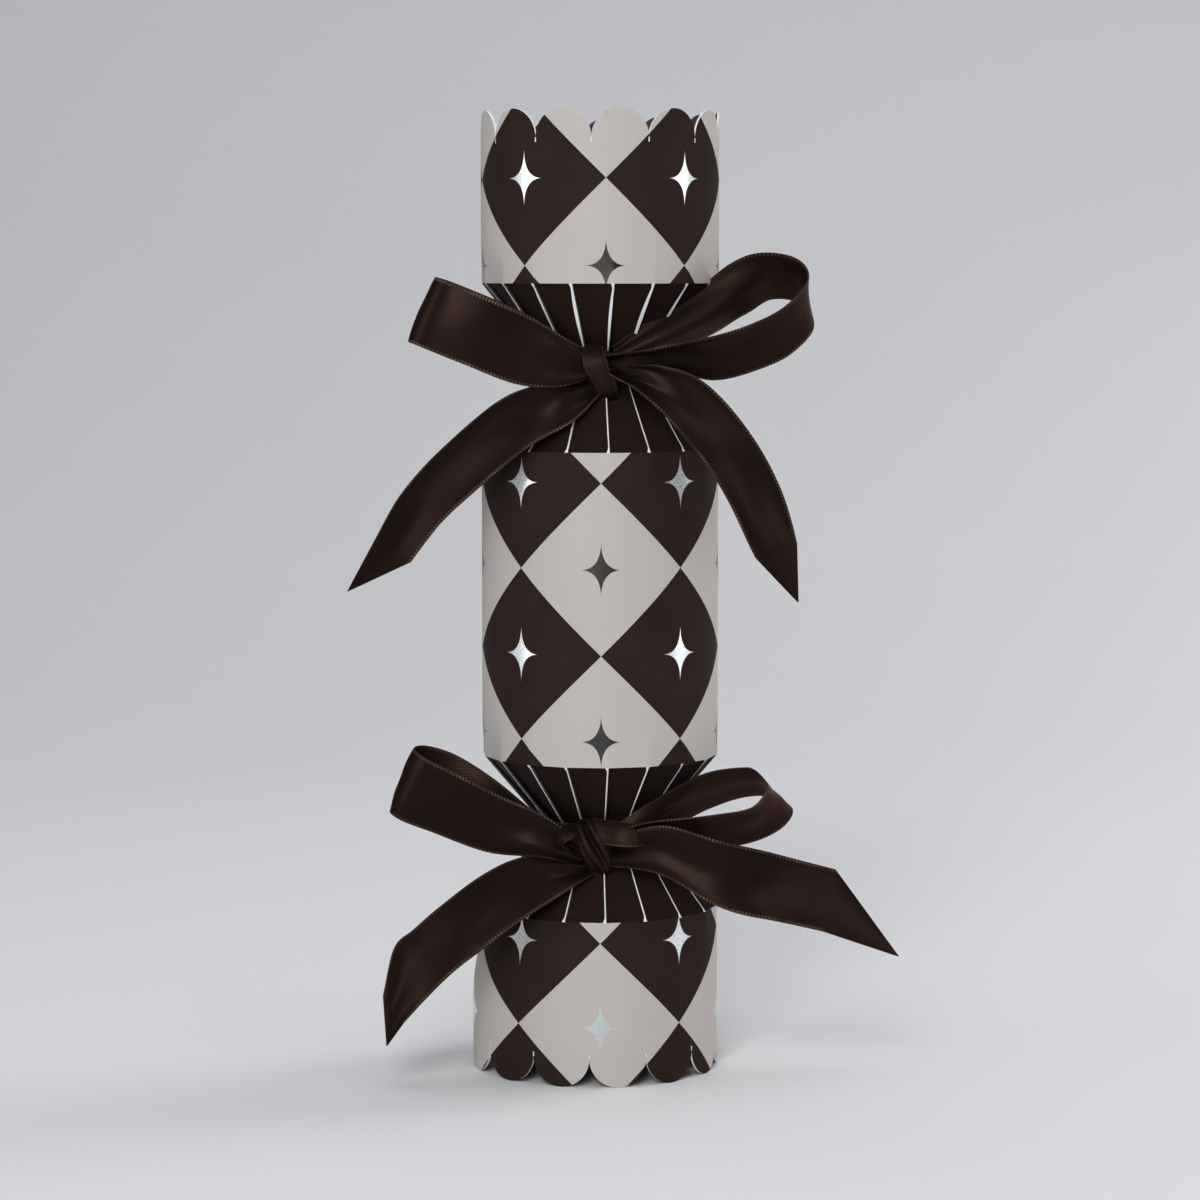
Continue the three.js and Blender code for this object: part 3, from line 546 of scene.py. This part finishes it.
def satin(name, twill, front, rib):
    """Woven ribbon on its own UV map, in metres across and along it. The front is smooth, with fine
    floats along its length, and the back shows the slanting ribs of the twill. Both have a corded
    selvedge whose stitches show as light ticks, partly the yarn's own colour and partly a painted glint, only
    in random patches that stand for where the edge catches the light."""
    finish = Finish(name, Metallic=0.5, Specular_IOR_Level=0.04, Specular_Tint=linear(200, 166, 150))
    finish.place()
    weave = finish.node("ShaderNodeTexCoord", output="UV")
    over, length = (finish.node("ShaderNodeSeparateXYZ", None, {0: weave}, axis) for axis in (0, 1))
    slant = over * math.cos(twill_slant) - length * math.sin(twill_slant)
    ribs = slant.maths("SINE", slant * (2 * math.pi / twill_pitch)) * 0.5 + 0.5
    floats = finish.speckle(1, 3, 0.6, finish.stretched(weave, floats_to_a_metre))
    cloud = finish.speckle(7 * mm, 2)
    selvedge = abs(over) > selvedge_start
    stitch = length.maths("SINE", length * (2 * math.pi / stitch_pitch)) * 0.5 + 0.5
    yarn = finish.mix(floats * 0.6 + cloud * 0.4, linear(*front[0]), linear(*front[1]))
    ribbed = finish.mix(ribs * twill, yarn, linear(*rib))
    # Painted glint: random patches where the light selvedge ticks show.
    painted_glint_patches = finish.speckle(glint_patch_size, 3) ** 3 * glint_patch_gain
    finish.gives("Base Color", finish.mix(selvedge * (stitch ** 2 * painted_glint_patches + 0.08), ribbed, selvedge_yarn_and_glint))
    finish.gives("Roughness", 0.3 + floats * 0.1 + selvedge * 0.25 + twill * 0.06)
    finish.relief(ribs * (0.05 + twill) + floats * 0.35 + selvedge * (0.8 + stitch), weave_relief, 0.8)
    return finish


satin_front = satin("brown_satin", 0.1, ((28, 20, 17), (38, 28, 25)), (50, 37, 33))
satin_back = satin("brown_satin_back", 0.55, ((24, 17, 14), (34, 25, 22)), (70, 53, 47))


def curve_at(stations, t):
    """Smooth values at a share t of the way through the stations"""
    place = t * (len(stations) - 1)
    i = min(int(place), len(stations) - 2)
    f = place - i
    around = (stations[max(0, min(len(stations) - 1, k))] for k in (i - 1, i, i + 1, i + 2))
    return [
        0.5 * (2 * q + (r - p) * f + (2 * p - 5 * q + 4 * r - s) * f * f + (3 * q - p - 3 * r + s) * f ** 3)
        for p, q, r, s in zip(*around)]


def by_knot(side, ahead, rise, waist):
    """A place given in mm from the knot's own place, with ahead towards the camera"""
    return Vector((axis_x + side * mm, axis_y + knot_y - ahead * mm, waist + rise * mm))


# Folds across a ribbon's width, as waves of two sizes, the fine ones as a share of the wide ones. They
# drift along a run. A groove lies a little beside the middle, and the whole is slightly uneven.
wide_waves, fine_waves, fine_share = 1.6, 4.3, 0.28
fold_drift = 1.5
groove_place, groove_width, groove_along, edge_groove = 0.05, 0.3, 4, 0.4
uneven_depth, uneven_across, uneven_mm = 0.35 * mm, 1.3, 14


def ribbon_run(shape, stations, waist, steps, tip=None, seed=0.0, curl=0.5, start=0.0, pleat=1.25, groove=0.0,
        turned=False):
    """One run of ribbon through its stations, each side, ahead, rise, across (x, y, z) and the share of
    its width that isn't gathered. A tail ends on the slant between its last station and its tip. A
    turned run shows its smooth side to the front."""
    columns = 16
    values = [curve_at(stations, step / steps) for step in range(steps + 1)]
    centres = [by_knot(*value[:3], waist) for value in values]
    rows, marks, travelled = [], [], start
    for step, value in enumerate(values):
        over = Vector(value[3:6]).normalized()
        ahead = (centres[min(step + 1, steps)] - centres[max(step - 1, 0)]).normalized()
        face = ahead.cross(over).normalized()
        over = face.cross(ahead).normalized() if abs(over.dot(ahead)) > 0.95 else over
        share = value[6]
        gather = max(0.0, 1 - share)
        folds = pleat * mm * gather
        if step:
            travelled += (centres[step] - centres[step - 1]).length
        row = []
        for c in range(columns + 1):
            s = 1 - 2 * c / columns
            crown = curl * mm * (s * s - 0.4) * share
            wide_fold = folds * math.cos(wide_waves * math.pi * s + seed + fold_drift * step / steps)
            fine_fold = folds * gather * fine_share * math.cos(fine_waves * math.pi * s + 3 * seed)
            deepest = max(0, math.sin(groove_along * step / steps))
            middle_groove = math.exp(-((s - groove_place) / groove_width) ** 2) * deepest
            furrow = groove * mm * (middle_groove + edge_groove * s ** 4)
            spot = Vector((s * uneven_across + seed, travelled / mm / uneven_mm, seed))
            uneven = uneven_depth * share * noise.noise(spot)
            lift = crown + wide_fold + fine_fold - furrow + uneven
            row.append(centres[step] + over * (s * ribbon_half * share) + face * lift)
        rows.append(row[::-1] if turned else row)
        marks.append(travelled)
    cut_steps = 8
    if tip:
        tip_at = by_knot(*tip, waist)
        reach = (tip_at - centres[-1]).length
        square_end = rows[-1]
        for k in range(1, cut_steps + 1):
            f = k / cut_steps
            rows.append([p + (tip_at - p) * f * 0.995 for p in square_end])
            marks.append(travelled + reach * f)

    def woven_at(row, column):
        """Across and along the ribbon, narrowing to the tip of a tail"""
        narrowed = 1 if row <= steps else 1 - (row - steps) / (1.05 * cut_steps)
        return (1 - 2 * column / columns) * ribbon_half * narrowed, marks[row]

    drawn_through(shape, rows, uv=woven_at)
    return marks[-1]


def wrapped_knot(shape, waist, knot, start):
    """The knot's body, the arms' folds drawn together under the strap"""
    side, rise, tilt, width, height, depth = knot
    rows = []
    steps, columns = 24, 16
    row_length = 0.6 * mm
    wrapped, spread = 300, math.radians(88)
    fold_depth, fold_waves, fold_slant = 0.06, 7, 1.2
    turn = Matrix.Rotation(math.radians(tilt), 3, "Y")
    for step in range(steps + 1):
        up = math.radians(wrapped / 2 - wrapped * step / steps)
        row = []
        for c in range(columns + 1):
            swing = (1 - 2 * c / columns) * spread
            fold = 1 + fold_depth * math.cos(fold_waves * swing + fold_slant * math.sin(up) + tilt)
            row.append(by_knot(side, 0, rise, waist) + turn @ Vector((
                math.sin(swing) * width / 2 * fold,
                -math.cos(up) * depth * math.cos(swing) ** 0.6 * fold,
                math.sin(up) * height / 2 * (0.86 + 0.14 * math.cos(swing)))))
        rows.append(row)
    drawn_through(shape, rows, uv=lambda r, c: (
        (1 - 2 * c / columns) * ribbon_half * 0.8, start + r * row_length))


def waist_band(shape, waist, half_neck):
    """The ribbon drawn round the waist, crushed into level folds"""
    steps, columns = 96, 12
    half_width = 3.1 * mm
    row_length = 0.85 * mm
    clear, ripple_depth, fold_depth = 0.35 * mm, 0.3 * mm, 0.3 * mm
    edge_puff, middle_puff = 0.45 * mm, 0.75 * mm
    slope = (tube_radius - waist_radius) / half_neck
    rows = []
    for step in range(steps + 1):
        turn = 2 * math.pi * step / steps
        row = []
        for c in range(columns + 1):
            s = 1 - 2 * c / columns
            ripple = ripple_depth * noise.noise(Vector((math.cos(turn) * 2, math.sin(turn) * 2, s)))
            rise = s * half_width + ripple
            inner = waist_radius + clear + slope * abs(rise)
            folds = fold_depth * math.cos(9 * s + 1.2 * math.sin(turn + waist * 90))
            puff = edge_puff + middle_puff * (1 - abs(s) ** 2.5) + folds
            row.append(at(inner + puff, turn, waist + rise))
        rows.append(row)
    drawn_through(shape, rows, uv=lambda r, c: ((1 - 2 * c / columns) * ribbon_half, r * row_length))


upper_left_loop = [
    (-2, 2, 0.5, 0.1, 0, 1, 0.35), (-8, 3.2, 1, 0.17, 0, 0.98, 0.7), (-16.5, 4, 3.7, 0.22, 0, 0.98, 0.98),
    (-27, 5.6, 8, 0.31, 0, 0.95, 1), (-35.2, 5.0, 11.3, 0.39, 0, 0.92, 1),
    (-38.4, 1.4, 12.5, 0.39, 0, 0.92, 1), (-35.2, -2.4, 11.5, 0.39, 0, 0.92, 1),
    (-26.5, -2.8, 8, 0.32, 0, 0.95, 1), (-16.5, -1, 4, 0.22, 0, 0.97, 0.95),
    (-8, 0.8, 1.5, 0.15, 0, 1, 0.6), (-2, 0.5, 0.5, 0.1, 0, 1, 0.35)]
upper_right_loop = [
    (1.5, 2, 0.5, 0, -0.3, 0.95, 0.35), (8, 4, 1.5, 0, -0.7, 0.7, 0.5), (15, 5, 2.2, 0, -0.8, 0.6, 0.7),
    (25, 5, 2.5, 0.05, -0.74, 0.66, 1), (34, 4, 5.0, -0.04, -0.71, 0.7, 1),
    (40.4, 1, 8.3, -0.1, -0.68, 0.72, 1), (45.1, -3, 13.5, -0.12, -0.68, 0.72, 1),
    (43.2, -7, 17.9, -0.12, -0.75, 0.64, 1), (36.5, -9, 19.2, -0.08, -0.68, 0.7, 0.93),
    (29.6, -7, 16.5, -0.22, -0.15, 0.9, 0.78), (22.5, -3.8, 11.8, -0.3, 0.25, 0.9, 0.7),
    (13.5, 0, 7.1, -0.38, 0.4, 0.83, 0.62), (3, 0.5, 2, -0.1, 0.2, 1, 0.35)]
upper_left_tail = [
    (-0.8, 1, -4, -0.55, 0.26, 0.8, 0.25), (-9, 4.6, -7.2, -0.65, 0.35, 0.67, 0.75),
    (-19, 4.4, -12, -0.57, 0.61, 0.54, 1), (-30.7, 2.5, -21.8, -0.64, 0.62, 0.45, 1),
    (-39, 1.5, -30.4, -0.64, 0.7, 0.28, 1), (-45.2, 0.2, -39.4, -0.54, 0.8, 0.25, 1)]
upper_right_tail = [
    (0.5, 1.2, 0.4, 0.2, 0.5, 0.85, 0.18), (5.2, 4.4, -1.2, 0.4, 0.4, 0.8, 0.3),
    (10.6, 6.6, -2.4, 0.6, 0.3, 0.7, 0.54), (18, 7.5, -6.8, 0.62, 0.4, 0.66, 0.8),
    (26.6, 7.2, -16.5, 0.72, 0.56, 0.36, 0.96), (32.7, 5, -27, 0.76, 0.6, 0.14, 1),
    (37.5, 4, -39.2, 0.6, 0.76, 0.15, 1)]
lower_left_loop = [
    (-4, 2, -3, 0, 0, 1, 0.35), (-12.5, 3.4, 1, 0.13, 0, 0.99, 0.6),
    (-23, 3.2, 3.6, 0.28, -0.25, 0.93, 0.9), (-34, 3.6, 8.5, 0.31, -0.25, 0.91, 1),
    (-40.4, 2.9, 11.2, 0.37, -0.12, 0.92, 1), (-43.3, -0.8, 12.9, 0.36, -0.06, 0.93, 1),
    (-40.6, -4.6, 12.9, 0.36, 0, 0.93, 1), (-33.5, -5.2, 10.4, 0.3, 0.14, 0.94, 1),
    (-24.6, -3, 6, 0.26, 0.2, 0.94, 0.9), (-13.4, 0.4, 1.4, 0.13, 0, 0.99, 0.5),
    (-4, 0.5, -2.5, 0, 0, 1, 0.35)]
lower_right_loop = [
    (0, 2, -2, 0, -0.3, 0.95, 0.35), (6, 3.6, 1, 0.1, -0.6, 0.8, 0.45),
    (12, 4.5, 3, 0.26, -0.79, 0.56, 0.6), (23.4, 4.5, 2.6, 0.2, -0.79, 0.6, 0.95),
    (32, 3, 3.4, 0.07, -0.77, 0.64, 1), (37.6, -1, 6, -0.25, -0.72, 0.64, 1),
    (39.2, -6, 8.5, -0.43, -0.76, 0.5, 1), (35.5, -10.5, 10.7, -0.25, -0.82, 0.5, 1),
    (30.9, -11.5, 10.6, -0.03, -0.83, 0.55, 1), (23.5, -9, 9, -0.05, -0.75, 0.65, 0.95),
    (15.5, -3.5, 6, -0.2, -0.64, 0.74, 0.65), (8, 0, 2.8, -0.2, -0.5, 0.85, 0.4),
    (1.3, 0.5, -2, 0, -0.2, 1, 0.35)]
lower_left_tail = [
    (-3, 1.5, -6.5, -0.65, 0.1, 0.76, 0.25), (-11, 4.8, -6.6, -0.69, 0.3, 0.66, 0.75),
    (-20.5, 8.2, -10.7, -0.66, 0.56, 0.5, 1), (-29.6, 10, -17.3, -0.66, 0.56, 0.5, 1),
    (-35.5, 10.5, -22, -0.66, 0.6, 0.45, 1), (-40.2, 10.5, -26.5, -0.61, 0.63, 0.48, 1),
    (-44.6, 10.5, -35.3, -0.55, 0.65, 0.52, 0.6)]
lower_right_tail = [
    (1, 1.5, -3, 0, 0.2, 1, 0.35), (7.5, 4.5, -1.6, 0, -0.15, 0.97, 0.58),
    (14.8, 6.4, -1.8, 0, 0, 0.96, 0.76), (26.3, 8.5, -6.4, 0.12, 0.08, 0.97, 0.93),
    (38.4, 5.5, -10, 0.19, 0.5, 0.87, 1), (49.6, 2, -13.2, 0.22, 0.54, 0.82, 1)]

# The knot's strap is the ribbon folded to a third of its width, drawn over the arms from above and
# tucked away below. The lower one leaves a small slack fold at its left.
upper_strap = [
    (-1.9, -2.2, 4.4, 0.98, 0, 0.15, 0.26), (-1.8, 1.4, 4.7, 0.98, 0.1, 0.15, 0.27),
    (-1.5, 3.9, 3.0, 0.97, 0.1, 0.2, 0.3), (-0.9, 4.9, 0.6, 0.95, 0.0, 0.3, 0.33),
    (0.4, 3.9, -2.4, 0.9, -0.1, 0.42, 0.27), (2.2, 2.0, -5.2, 0.86, -0.1, 0.5, 0.2),
    (3.3, -1.0, -6.9, 0.85, 0, 0.5, 0.14)]
lower_strap = [
    (-4.0, -2.0, 4.0, 0.92, 0.2, 0.36, 0.22), (-3.7, 2.2, 4.3, 0.9, 0.2, 0.4, 0.28),
    (-2.4, 5.0, 1.5, 0.88, 0.15, 0.44, 0.33), (-0.6, 5.6, -1.8, 0.86, 0.1, 0.5, 0.34),
    (1.0, 4.4, -4.9, 0.85, 0, 0.52, 0.3), (1.6, 1.6, -6.9, 0.86, 0, 0.5, 0.26),
    (1.3, -1.8, -6.9, 0.86, 0, 0.5, 0.22)]
lower_fold = [
    (-7.0, 1.2, -2.9, -0.2, 0.9, -0.4, 0.3), (-9.0, 2.6, -1.6, -0.42, 0.9, -0.15, 0.34),
    (-9.2, 3.8, 0.5, -0.42, 0.9, 0.2, 0.36), (-7.8, 4.6, 2.1, -0.2, 0.9, 0.42, 0.38),
    (-5.8, 4.2, 2.6, 0.05, 0.9, 0.46, 0.36), (-4.0, 2.4, 1.9, 0.2, 0.9, 0.36, 0.3)]
lower_flap = [
    (-2.0, 2.2, 2.4, 0.0, 0.4, 0.9, 0.36), (1.0, 4.6, 2.3, -0.02, 0.5, 0.85, 0.38),
    (4.4, 6.0, 2.2, -0.04, 0.5, 0.85, 0.38), (7.6, 6.0, 1.9, -0.1, 0.4, 0.9, 0.34),
    (10.0, 3.6, 1.5, -0.3, 0.2, 0.9, 0.26)]

# A run: its stations, steps, tip, the seed of its folds and its curl, then its pleats' depth, its
# groove and whether it is turned. A knot: its side, rise and tilt, then its width, height and depth.
upper_runs = (
    (upper_left_loop, 70, None, 0.3, 0.5), (upper_right_loop, 90, None, 1.7, 0.6, 1.25, 0.0, True),
    (upper_left_tail, 44, (-55, -7, -49), 2.9, 0.9),
    (upper_right_tail, 44, (43, -3, -51), 4.1, 0.8, 1.25, 0.0, True),
    (upper_strap, 36, None, 2.2, -1.9, 0.1, 0.0))
lower_runs = (
    (lower_left_loop, 70, None, 5.3, 0.5), (lower_right_loop, 90, None, 6.1, 0.1, 1.25, 0.0, True),
    (lower_left_tail, 44, (-46, 10, -43.5), 7.7, 0.9),
    (lower_right_tail, 44, (65, 2, -25.5), 8.9, 0.8, 1.25, 0.0, True),
    (lower_strap, 36, None, 4.0, -2.2, 0.1, 3.6), (lower_fold, 24, None, 1.1, -1.4, 0.1, 0.0),
    (lower_flap, 24, None, 2.6, -2.4, 0.1, 0.0))
upper_knot = (-0.1, -0.8, -14, 5.4 * mm, 10.6 * mm, 2.6 * mm)
lower_knot = (-2.0, -2.0, -26, 5.8 * mm, 10.6 * mm, 2.2 * mm)
upper_half, lower_half = upper_waist - barrel_top, barrel_bottom - lower_waist
round_the_waist = 0.085

for bow, node, body, waist, half_neck, knot, runs in (
    ("upper_bow", "upper_ribbon", "upper_end", upper_waist, upper_half, upper_knot, upper_runs),
    ("lower_bow", "lower_ribbon", "lower_end", lower_waist, lower_half, lower_knot, lower_runs),
):
    shape = bmesh.new()
    length_used = 0.0
    for stations, steps, tip, seed, curl, *folds in runs:
        length_used = ribbon_run(shape, stations, waist, steps, tip, seed, curl, length_used, *folds)
    wrapped_knot(shape, waist, knot, length_used)
    waist_band(shape, waist, half_neck)
    for edge in shape.edges:
        edge.smooth = not edge.is_boundary
    made = piece(bow, shape, [satin_front, satin_back], body, [node])
    cloth = made.modifiers.new("ribbon", "SOLIDIFY")
    cloth.thickness = ribbon_thick
    cloth.offset = 0
    cloth.material_offset = 1
    round(length_used + round_the_waist, 3)


# The snap. Two strips of grey board, the friction patch between them, the paper sleeve that keeps
# them face to face, and the tape that holds each outer end to its tube.
def plain(name, first, second, grain, roughness, depth, stretch=(1, 1, 1), specular=0.3, metallic=0.0):
    """One even stuff: two tones of fibre or polish, drawn out along its grain"""
    finish = Finish(name, Roughness=roughness, Specular_IOR_Level=specular, Metallic=metallic)
    finish.place()
    fibre = finish.speckle(grain, 4, 0.65, finish.stretched(finish.point, stretch))
    patch = finish.speckle(grain * 14, 2)
    finish.gives("Base Color", finish.mix(fibre * 0.7 + patch * 0.3, linear(*first), linear(*second)))
    finish.gives("Roughness", roughness - 0.06 + fibre * 0.12)
    finish.relief(fibre, depth, 0.7)
    return finish


def refinish(names, finish):
    """Gives the CAD's own pieces a finish"""
    for name in names:
        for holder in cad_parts[name].material_slots:
            holder.material = finish.material


refinish(("snap_strip_lower", "snap_strip_upper"),
    plain("grey_board", (142, 133, 116), (176, 166, 148), 0.35 * mm, 0.85, 0.03 * mm, (1, 1, 0.2)))
refinish(("snap_charge",), plain("friction_patch", (64, 62, 64), (104, 102, 100), 0.12 * mm, 0.7, 0.05 * mm))
refinish(("snap_sleeve",), plain("sleeve_paper", (196, 184, 158), (214, 204, 180), 0.3 * mm, 0.85, 0.02 * mm))
refinish(("tape_lower", "tape_upper"),
    plain("paper_tape", (202, 192, 160), (220, 212, 184), 0.5 * mm, 0.45, 0.015 * mm, (1, 1, 4), 0.45))

# The gift. A round-cornered dark paper box with its lid, a foam pad, and a pair of plated studs whose
# posts go through the pad into their backs.
refinish(("gift_box_base", "gift_box_lid"),
    plain("box_paper", (44, 34, 31), (58, 47, 43), 0.25 * mm, 0.6, 0.02 * mm, (1, 1, 0.5)))
refinish(("foam_pad",), plain("black_foam", (18, 16, 16), (40, 37, 36), 0.3 * mm, 0.95, 0.12 * mm))
refinish(("stud_earring_left", "stud_earring_right", "stud_back_left", "stud_back_right"),
    plain("plating", (186, 187, 190), (208, 209, 211), 0.8 * mm, 0.18, 0.002 * mm, (1, 1, 6), 0.5, 1.0))


# The paper hat and the motto. Each is a sheet of paper rolled up, the hat of tissue in a paper band.
paper_thick = 0.12 * mm
roll_unevenness = 0.06 * mm


def paper_roll(name, inner, outer, turns, ragged, finish):
    """A sheet rolled up round its CAD node's axis, with uneven turns and, on tissue, ragged ends"""
    low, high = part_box(name)
    middle_x, middle_y = (low.x + high.x) / 2, (low.y + high.y) / 2
    per_turn = 28
    columns = turns * per_turn
    rows = []
    for share in (0, 0.03, 0.25, 0.5, 0.75, 0.97, 1):
        row = []
        for c in range(columns + 1):
            turn = 2 * math.pi * turns * c / columns
            radius = inner + (outer - inner) * c / columns
            radius -= roll_unevenness * (1 + math.sin(3 * turn + 9 * share))
            z = low.z + (high.z - low.z) * share
            if share in (0, 1):
                z += (1 if share == 0 else -1) * ragged * (0.5 + 0.5 * math.sin(turn * 2.3))
            row.append((middle_x + radius * math.sin(turn), middle_y + radius * math.cos(turn), z))
        rows.append(row)
    shape = bmesh.new()
    drawn_through(shape, rows)
    for edge in shape.edges:
        edge.smooth = not edge.is_boundary
    made = piece(name + "_roll", shape, [finish], "barrel", [name])
    sheet = made.modifiers.new("paper", "SOLIDIFY")
    sheet.thickness = paper_thick
    sheet.offset = 0
    return made


tissue = plain("hat_tissue", (112, 30, 44), (134, 42, 56), 0.6 * mm, 0.8, 0.04 * mm, (1, 1, 0.3))
motto_paper = plain("motto_paper", (206, 200, 186), (222, 217, 205), 0.4 * mm, 0.8, 0.015 * mm)
hat_sheet = paper_roll("paper_hat", 2.2 * mm, 6.4 * mm, 8, 0.4 * mm, tissue)
motto_sheet = paper_roll("motto_slip", 2.5 * mm, 3.1 * mm, 2, 0, motto_paper)
refinish(("hat_band",), plain("band_paper", (178, 172, 166), (192, 187, 181), 0.4 * mm, 0.7, 0.015 * mm))
